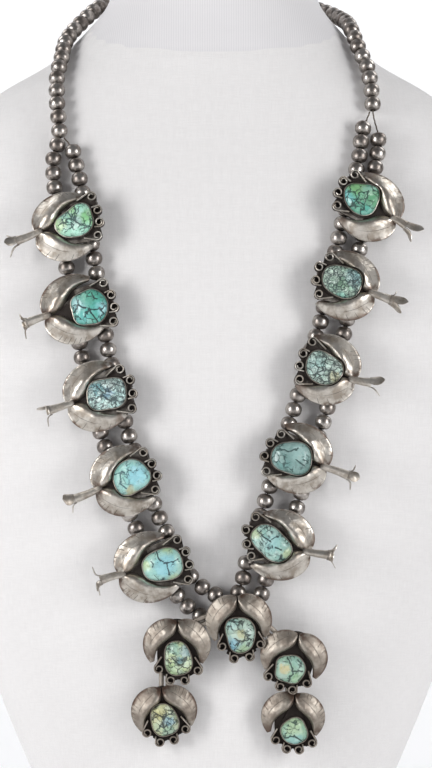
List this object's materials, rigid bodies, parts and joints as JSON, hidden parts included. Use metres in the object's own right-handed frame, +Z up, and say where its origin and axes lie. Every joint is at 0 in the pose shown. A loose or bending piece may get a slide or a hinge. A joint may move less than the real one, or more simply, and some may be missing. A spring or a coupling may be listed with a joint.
{
  "type": "squash blossom necklace with neck bust",
  "caption": "Silver bead necklace with blossoms set with turquoise and a crescent naja pendant, lying on a linen-covered neck bust.",
  "frame": {"origin": "centre of the bust's flat base, where it stands on the counter", "axes": "+Z up, -Y towards the viewer, +X to the viewer's right"},
  "size_m": [0.3036, 0.1573, 0.455],
  "materials": {
    "silver": "aged satin silver, dark in the recesses",
    "turquoise": "polished turquoise with dark matrix",
    "linen": "off-white plain weave",
    "thread": "dark waxed thread"
  },
  "bodies": {
    "root": {"neck_bust": "linen", "thread_outer": "thread", "thread_inner": "thread", "neck_beads_left": "silver", "neck_beads_right": "silver", "strand_outer_left": "silver", "strand_inner_left": "silver", "strand_outer_right": "silver", "strand_inner_right": "silver", "blossom_left_1": "silver", "blossom_left_2": "silver", "blossom_left_3": "silver", "blossom_left_4": "silver", "blossom_left_5": "silver", "blossom_right_1": "silver", "blossom_right_2": "silver", "blossom_right_3": "silver", "blossom_right_4": "silver", "blossom_right_5": "silver", "stone_left_1": "turquoise", "stone_left_2": "turquoise", "stone_left_3": "turquoise", "stone_left_4": "turquoise", "stone_left_5": "turquoise", "stone_right_1": "turquoise", "stone_right_2": "turquoise", "stone_right_3": "turquoise", "stone_right_4": "turquoise", "stone_right_5": "turquoise", "naja": "silver", "naja_stone_1": "turquoise", "naja_stone_2": "turquoise", "naja_stone_3": "turquoise", "naja_stone_4": "turquoise", "naja_stone_5": "turquoise", "clasp": "silver"}
  },
  "joints": []
}
